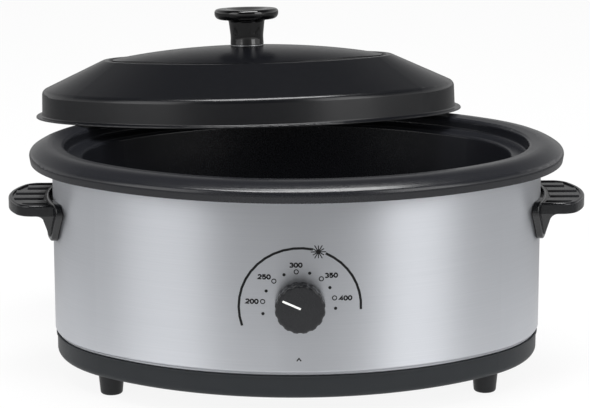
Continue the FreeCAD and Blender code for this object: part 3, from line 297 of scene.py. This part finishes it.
def stoved_ink(name, dark, light, roughness):
    """Epoxy ink, screen printed and stoved: an even, dull film with a faint mottle of about 1 mm."""
    material, tree, place = new_material(name)
    mottle_size = 1 * MM
    mottle = add_node(
        tree, "ShaderNodeTexNoise", {}, {"Vector": place, "Scale": 1 / mottle_size, "Detail": 1.0}
    ).outputs["Fac"]
    tint = add_node(
        tree,
        "ShaderNodeMix",
        {"data_type": "RGBA"},
        {"Factor": mottle, 6: linear(dark), 7: linear(light)},
    ).outputs[2]
    film = add_node(
        tree,
        "ShaderNodeBsdfPrincipled",
        {},
        {"Base Color": tint, "Roughness": roughness, "IOR": 1.5, "Specular IOR Level": 0.3},
    ).outputs["BSDF"]
    add_node(tree, "ShaderNodeOutputMaterial", {}, {"Surface": film})
    return material


WRAPPER_STEEL = brushed_stainless_steel()
POT_ENAMEL = porcelain_enamel("pot_porcelain_enamel", dark="#1b1c20", light="#1f2024")
LID_ENAMEL = porcelain_enamel("lid_porcelain_enamel", dark="#0d0e11", light="#111216")
# Polypropylene filled with talc, from a spark-eroded tool: dull dark grey
BASE_PLASTIC = moulded_plastic(
    "base_filled_polypropylene",
    dark="#24272a",
    light="#2a2d30",
    roughness=0.5,
    shine=0.25,
    grain_size=0.8 * MM,
    grain_depth=0.02 * MM,
)
# The same plastic in black, from a finer tool: a little glossier
FOOT_PLASTIC = moulded_plastic(
    "foot_filled_polypropylene",
    dark="#17181a",
    light="#1d1e20",
    roughness=0.45,
    shine=0.3,
    grain_size=0.8 * MM,
    grain_depth=0.02 * MM,
)
# Phenolic resin, compression moulded in a polished tool: clear highlights run along its black ribs
HANDLE_RESIN = moulded_plastic(
    "handle_phenolic_resin",
    dark="#17181a",
    light="#1c1d1f",
    roughness=0.17,
    shine=0.5,
    grain_size=0.7 * MM,
    grain_depth=0.002 * MM,
)
# Phenolic resin from a satin tool: an even black face, with a soft light on its scallops
KNOB_RESIN = moulded_plastic(
    "knob_phenolic_resin",
    dark="#18191c",
    light="#1d1e21",
    roughness=0.3,
    shine=0.5,
    grain_size=0.6 * MM,
    grain_depth=0.01 * MM,
)
LID_KNOB_RESIN = polished_phenolic()
# Nylon, injection moulded: black with a waxy sheen
BUSHING_NYLON = moulded_plastic(
    "bushing_nylon",
    dark="#1b1b1c",
    light="#232324",
    roughness=0.4,
    shine=0.4,
    grain_size=0.7 * MM,
    grain_depth=0.02 * MM,
)
# Brown phenolic resin, moulded with mineral filler: dull, its colour slightly uneven
SWITCH_RESIN = moulded_plastic(
    "switch_phenolic_resin",
    dark="#2b2622",
    light="#37302b",
    roughness=0.5,
    shine=0.4,
    grain_size=0.7 * MM,
    grain_depth=0.02 * MM,
)
# Mild steel, zinc plated: bright and bluish
PLATED_STEEL = mottled_metal(
    "zinc_plated_steel",
    dark="#a9abae",
    light="#c4c5c6",
    roughness=0.35,
    mottle_size=3 * MM,
    mottle_depth=0.02 * MM,
)
# Sheet steel, dipped in aluminium and rolled: pale grey, with a broad soft sheen
WELL_STEEL = mottled_metal(
    "aluminised_steel",
    dark="#a3a5a8",
    light="#babcbe",
    roughness=0.4,
    mottle_size=6 * MM,
    mottle_depth=0.03 * MM,
)
# Steel strip, tinted by its own heat: brownish grey and dull
BAND_STEEL = mottled_metal(
    "heat_tinted_steel",
    dark="#6f6a66",
    light="#8b8680",
    roughness=0.45,
    mottle_size=8 * MM,
    mottle_depth=0.03 * MM,
)
# Brass, turned: yellow and bright
SWITCH_BRASS = mottled_metal(
    "turned_brass",
    dark="#b08d4c",
    light="#c9a765",
    roughness=0.3,
    mottle_size=2 * MM,
    mottle_depth=0.01 * MM,
)
BLANKET_FIBRE = needled_glass_fibre()
DIAL_INK = stoved_ink("dial_black_ink", dark="#08080a", light="#101012", roughness=0.5)
POINTER_INK = stoved_ink("pointer_white_ink", dark="#f2f2f0", light="#fbfbfa", roughness=0.45)

FINISHES = {
    "outer_shell": WRAPPER_STEEL,
    "base_pan": BASE_PLASTIC,
    "foot_screw": PLATED_STEEL,
    "foot": FOOT_PLASTIC,
    "cord_bushing": BUSHING_NYLON,
    "heating_well": WELL_STEEL,
    "heating_band": BAND_STEEL,
    "band_bolt": PLATED_STEEL,
    "insulation_blanket": BLANKET_FIBRE,
    "thermal_cutout": SWITCH_RESIN,
    "thermostat_body": SWITCH_RESIN,
    "thermostat_bracket": PLATED_STEEL,
    "thermostat_spacer": SWITCH_RESIN,
    "thermostat_nut": SWITCH_BRASS,
    "thermostat_shaft": SWITCH_BRASS,
    "control_knob": KNOB_RESIN,
    "right_handle_screw": PLATED_STEEL,
    "left_handle_screw": PLATED_STEEL,
    "right_handle": HANDLE_RESIN,
    "left_handle": HANDLE_RESIN,
    "cookwell": POT_ENAMEL,
    "lid_cover": LID_ENAMEL,
    "lid_washer": PLATED_STEEL,
    "lid_knob": LID_KNOB_RESIN,
    "lid_screw": PLATED_STEEL,
}


def dress_nodes():
    """Gives every solid the finish whose name is the longest start of its own."""
    for name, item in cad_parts.items():
        key = max((k for k in FINISHES if name.startswith(k)), key=len)
        for slot in item.material_slots:
            slot.material = FINISHES[key]


# Printed dial, in millimetres about the knob's axis

# A curve is drawn in steps of this many degrees, but never in fewer steps than these.
STEP_ANGLE = 9
FEWEST_STEPS = 4
# Cosine of half the sharpest turn that a line's mitre follows to its point
SHARPEST_MITRE = 0.5


def on_wrapper(x, z):
    """Point of the wrapper's front face, a film of ink proud of it."""
    radius = WRAPPER_CENTRE_Y - WRAPPER_FRONT_Y + INK_FILM
    return Vector((x, WRAPPER_CENTRE_Y - math.sqrt(radius * radius - x * x), z))


def on_knob(x, z):
    """Point of the knob's face, a film of ink proud of it."""
    return Vector((x, KNOB_FACE_Y - INK_FILM, z))


def bow(middle, across, up, begin, end):
    """Points along part of an oval, by its angles in degrees."""
    steps = max(FEWEST_STEPS, round(abs(end - begin) / STEP_ANGLE))
    turns = [math.radians(begin + (end - begin) * step / steps) for step in range(steps + 1)]
    return [Vector((middle[0] + across * math.cos(t), middle[1] + up * math.sin(t))) for t in turns]


# Strokes of the digits that the dial needs, each in a box one wide and one high
DIGITS = {
    "0": [bow((0.5, 0.5), 0.36, 0.4, 90, 450)],
    "2": [bow((0.49, 0.66), 0.34, 0.24, 165, -35) + [Vector((0.14, 0.11)), Vector((0.88, 0.11))]],
    "3": [bow((0.46, 0.69), 0.33, 0.2, 150, -80), bow((0.46, 0.31), 0.37, 0.21, 80, -150)],
    "4": [[Vector(at) for at in ((0.69, 0.08), (0.69, 0.88), (0.1, 0.31), (0.94, 0.31))]],
    "5": [
        [Vector((0.84, 0.89)), Vector((0.24, 0.89)), Vector((0.19, 0.5))]
        + bow((0.47, 0.35), 0.36, 0.25, 128, -150)
    ],
}


class Print:
    """Flat ink shapes of one colour."""

    def __init__(self):
        self.points = []
        self.faces = []

    def line(self, points, width):
        """Band of ink along a run of points, mitred at each of them."""
        start = len(self.points)
        ways = [(after - before).normalized() for before, after in zip(points, points[1:])]
        for index, point in enumerate(points):
            before = ways[max(index - 1, 0)]
            after = ways[min(index, len(ways) - 1)]
            mitre = (before + after).normalized()
            reach = width / 2 / max(mitre.dot(after), SHARPEST_MITRE)
            side = Vector((-mitre.y, mitre.x)) * reach
            self.points += [point - side, point + side]
        for index in range(len(ways)):
            here = start + 2 * index
            self.faces.append((here, here + 2, here + 3, here + 1))

    def dot(self, middle, radius):
        """Round spot of ink."""
        start = len(self.points)
        rim = bow(middle, radius, radius, 0, 360)[:-1]
        self.points += rim
        self.faces.append(tuple(range(start, start + len(rim))))

    def number(self, text, middle, width, height, stroke):
        """Wide bold digits, each in a box of this width and height."""
        left = middle[0] - width * len(text) / 2
        low = middle[1] - height / 2
        for index, digit in enumerate(text):
            for strokes in DIGITS[digit]:
                run = [Vector((left + (index + p.x) * width, low + p.y * height)) for p in strokes]
                self.line(run, stroke)

    def lay(self, name, surface, ink, body):
        """Makes the mesh on a surface and lets it ride on a body."""
        laid = [surface(p.x * MM, DIAL_HEIGHT + p.y * MM) for p in self.points]
        mesh = bpy.data.meshes.new(name)
        mesh.from_pydata(laid, [], self.faces)
        mesh.materials.append(ink)
        item = bpy.data.objects.new(name, mesh)
        bpy.context.scene.collection.objects.link(item)
        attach(item, body)


# The outer line is an arc in two parts, with a star in the gap between them. Angles are in degrees, from
# the right and anticlockwise.
LINE_MIDDLE = (0.0, -1.0)
LINE_RADIUS = 43.4
LINE_WIDTH = 1.75
LINE_PARTS = ((-3.2, 65.2), (77.9, 198.8))
STAR_MIDDLE = Vector((13.05, 39.6))
STAR_RAYS = 12
STAR_REACHES = (5.4, 4.6)
STAR_WIDTH = 0.7
STAR_DOT_RADIUS = 1.7

# Dots and rings stand in turn round the knob at these angles; each ring has its temperature beside it.
MARK_MIDDLE = (-0.7, -0.7)
MARK_RADIUS = 26.0
MARK_ANGLES = (191.0, 171.3, 153.1, 133.0, 113.9, 94.2, 73.1, 52.5, 32.6, 14.1, -2.9)
DOT_RADIUS = 1.15
RING_RADIUS = 1.5
RING_WIDTH = 0.7
TEMPERATURES = {
    "200": (-34.0, 3.2),
    "250": (-25.3, 21.35),
    "300": (-2.9, 30.1),
    "350": (22.2, 22.3),
    "400": (32.4, 5.3),
}
DIGIT_WIDTH = 3.15
DIGIT_HEIGHT = 3.6
DIGIT_STROKE = 1.05
CARET_CORNERS = ((-2.3, -40.5), (-0.75, -38.5), (0.8, -40.5))
CARET_WIDTH = 0.85

POINTER_ENDS = ((0.4, 0.5), (-12.4, 6.3))
POINTER_WIDTH = 1.5


def make_dial():
    """Outer line with a star in its gap; dots, rings and temperatures round the knob; a caret below."""
    outer = Print()
    for begin, end in LINE_PARTS:
        outer.line(bow(LINE_MIDDLE, LINE_RADIUS, LINE_RADIUS, begin, end), LINE_WIDTH)
    outer.lay("dial_line", on_wrapper, DIAL_INK, "housing")
    star = Print()
    for ray in range(STAR_RAYS):
        turn = math.radians(360 / STAR_RAYS * ray)
        way = Vector((math.cos(turn), math.sin(turn)))
        star.line([STAR_MIDDLE, STAR_MIDDLE + way * STAR_REACHES[ray % 2]], STAR_WIDTH)
    star.dot(STAR_MIDDLE, STAR_DOT_RADIUS)
    star.lay("dial_star", on_wrapper, DIAL_INK, "housing")
    marks = Print()
    for index, angle in enumerate(MARK_ANGLES):
        at = bow(MARK_MIDDLE, MARK_RADIUS, MARK_RADIUS, angle, angle)[0]
        if index % 2 == 0:
            marks.dot(at, DOT_RADIUS)
        else:
            marks.line(bow(at, RING_RADIUS, RING_RADIUS, 0, 360), RING_WIDTH)
    marks.lay("dial_marks", on_wrapper, DIAL_INK, "housing")
    numbers = Print()
    for text, middle in TEMPERATURES.items():
        numbers.number(text, middle, DIGIT_WIDTH, DIGIT_HEIGHT, DIGIT_STROKE)
    numbers.lay("dial_numbers", on_wrapper, DIAL_INK, "housing")
    caret = Print()
    caret.line([Vector(corner) for corner in CARET_CORNERS], CARET_WIDTH)
    caret.lay("dial_caret", on_wrapper, DIAL_INK, "housing")


def make_pointer():
    """White line on the knob's face, from its middle to the rim."""
    pointer = Print()
    pointer.line([Vector(end) for end in POINTER_ENDS], POINTER_WIDTH)
    pointer.lay("knob_pointer", on_knob, POINTER_INK, "control")


# Studio


def make_floor():
    """Pale painted floor that keeps the object's shadow. It is white to the camera; mirrored, it glows
    white beside the object, a painted pool of light, and greyer further off."""
    material, tree, place = new_material("pale_paint_with_painted_glow")
    paths = add_node(tree, "ShaderNodeLightPath", {}, {}).outputs
    # Painted pool of light: seen mirrored, the floor glows brightest near the object and dims further off
    away = add_node(tree, "ShaderNodeVectorMath", {"operation": "LENGTH"}, {0: place}).outputs["Value"]
    fade = add_node(
        tree,
        "ShaderNodeMapRange",
        {},
        {"Value": away, "From Min": 0.2, "From Max": 0.7, "To Min": 1.0, "To Max": 0.22},
    ).outputs["Result"]
    level = add_node(
        tree, "ShaderNodeMath", {"operation": "MAXIMUM"}, {0: fade, 1: paths["Is Camera Ray"]}
    ).outputs[0]
    mirrored = add_node(
        tree,
        "ShaderNodeMath",
        {"operation": "MAXIMUM"},
        {0: paths["Is Glossy Ray"], 1: paths["Is Transmission Ray"]},
    ).outputs[0]
    seen = add_node(
        tree, "ShaderNodeMath", {"operation": "MAXIMUM"}, {0: mirrored, 1: paths["Is Camera Ray"]}
    ).outputs[0]
    white_share = 0.9
    share = add_node(
        tree, "ShaderNodeMath", {"operation": "MULTIPLY"}, {0: seen, 1: white_share}
    ).outputs[0]
    paint = add_node(tree, "ShaderNodeBsdfDiffuse", {}, {"Color": linear("#f4f4f4")}).outputs["BSDF"]
    white = add_node(
        tree, "ShaderNodeEmission", {}, {"Color": linear("#ffffff"), "Strength": level}
    ).outputs["Emission"]
    mixed = add_node(tree, "ShaderNodeMixShader", {}, {0: share, 1: paint, 2: white}).outputs["Shader"]
    add_node(tree, "ShaderNodeOutputMaterial", {}, {"Surface": mixed})
    reach = 12.0
    corners = [(-reach, -reach, 0), (reach, -reach, 0), (reach, reach, 0), (-reach, reach, 0)]
    mesh = bpy.data.meshes.new("floor")
    mesh.from_pydata(corners, [], [(0, 1, 2, 3)])
    mesh.materials.append(material)
    floor = bpy.data.objects.new("floor", mesh)
    bpy.context.scene.collection.objects.link(floor)


def make_world():
    """White to the camera, and an even grey for soft light. Mirrored, it is a white wall at either side
    with a grey gap before and behind, all fading upwards to dark: the front soonest, the sides last."""
    world = bpy.data.worlds.new("studio")
    bpy.context.scene.world = world
    world.use_nodes = True
    tree = world.node_tree
    tree.nodes.clear()
    paths = add_node(tree, "ShaderNodeLightPath", {}, {}).outputs
    way = add_node(tree, "ShaderNodeTexCoord", {}, {}).outputs["Generated"]
    parts = add_node(tree, "ShaderNodeSeparateXYZ", {}, {"Vector": way}).outputs
    aside = add_node(tree, "ShaderNodeMath", {"operation": "ABSOLUTE"}, {0: parts["X"]}).outputs[0]
    side_stretch = add_node(
        tree, "ShaderNodeMath", {"operation": "MULTIPLY_ADD"}, {0: aside, 1: -0.6, 2: 1.0}
    ).outputs[0]
    front_squeeze = add_node(
        tree,
        "ShaderNodeMapRange",
        {},
        {"Value": parts["Y"], "From Min": -0.5, "From Max": 0.5, "To Min": 3.0, "To Max": 1.0},
    ).outputs["Result"]
    steepness = add_node(
        tree, "ShaderNodeMath", {"operation": "MULTIPLY"}, {0: side_stretch, 1: front_squeeze}
    ).outputs[0]
    height = add_node(
        tree, "ShaderNodeMath", {"operation": "MULTIPLY"}, {0: parts["Z"], 1: steepness}
    ).outputs[0]
    fade = add_node(
        tree,
        "ShaderNodeMapRange",
        {},
        {"Value": height, "From Min": 0.06, "From Max": 0.6, "To Min": 1.0, "To Max": 0.1},
    ).outputs["Result"]
    wall = add_node(
        tree,
        "ShaderNodeMapRange",
        {},
        {"Value": aside, "From Min": 0.25, "From Max": 0.85, "To Min": 0.5, "To Max": 1.0},
    ).outputs["Result"]
    backdrop = add_node(tree, "ShaderNodeMath", {"operation": "MULTIPLY"}, {0: fade, 1: wall}).outputs[0]
    mirrored = add_node(
        tree,
        "ShaderNodeMath",
        {"operation": "MAXIMUM"},
        {0: paths["Is Glossy Ray"], 1: paths["Is Transmission Ray"]},
    ).outputs[0]
    soft_light = 0.45
    unseen = add_node(
        tree, "ShaderNodeMix", {"data_type": "FLOAT"}, {"Factor": mirrored, 2: soft_light, 3: backdrop}
    ).outputs[0]
    level = add_node(
        tree, "ShaderNodeMath", {"operation": "MAXIMUM"}, {0: unseen, 1: paths["Is Camera Ray"]}
    ).outputs[0]
    light = add_node(
        tree, "ShaderNodeBackground", {}, {"Color": linear("#ffffff"), "Strength": level}
    ).outputs["Background"]
    add_node(tree, "ShaderNodeOutputWorld", {}, {"Surface": light})


def add_softbox(name, place, aim, width, height, power):
    """Rectangular lamp that faces a point."""
    lamp = bpy.data.lights.new(name, "AREA")
    lamp.shape = "RECTANGLE"
    lamp.size = width
    lamp.size_y = height
    lamp.energy = power
    item = bpy.data.objects.new(name, lamp)
    turn = (Vector(place) - Vector(aim)).to_track_quat("Z", "Y").to_matrix().to_4x4()
    item.matrix_world = Matrix.Translation(place) @ turn
    bpy.context.scene.collection.objects.link(item)


def make_lights():
    """Two upright softboxes, left and right of the front, make the steel's two bright bands; one overhead
    gives the rim and the lid's crease their thin highlights."""
    level_aim = (0, 0, 1.275)
    add_softbox("left_softbox", (-1.507, -1.157, 1.275), level_aim, width=1.15, height=1.85, power=13.5)
    add_softbox("right_softbox", (1.401, -1.284, 1.275), level_aim, width=0.95, height=1.85, power=16.5)
    add_softbox("top_softbox", (0.05, -0.1, 1.9), (0, 0, 0), width=1.3, height=0.65, power=32)


def make_camera():
    """Stands before the front, a little to the left, and looks down on the lid."""
    lens = bpy.data.cameras.new("camera")
    lens.sensor_fit = "HORIZONTAL"
    lens.sensor_width = 36.0
    lens.lens = 162.14
    lens.clip_start = 0.1
    lens.clip_end = 60.0
    # The camera's own axes, seen from the object's frame
    right = Vector((0.99987, -0.01603, -0.00136))
    up = Vector((0.00503, 0.23098, 0.97294))
    back = Vector((-0.01528, -0.97283, 0.23103))
    turn = Matrix((right, up, back)).transposed().to_4x4()
    place = Vector((-31.9, -1945.6, 589.4)) * MM
    item = bpy.data.objects.new("camera", lens)
    item.matrix_world = Matrix.Translation(place) @ turn
    bpy.context.scene.collection.objects.link(item)
    bpy.context.scene.camera = item


make_camera()
make_world()
make_lights()
make_floor()
dress_nodes()
make_dial()
make_pointer()
bpy.context.scene.view_settings.view_transform = "Standard"
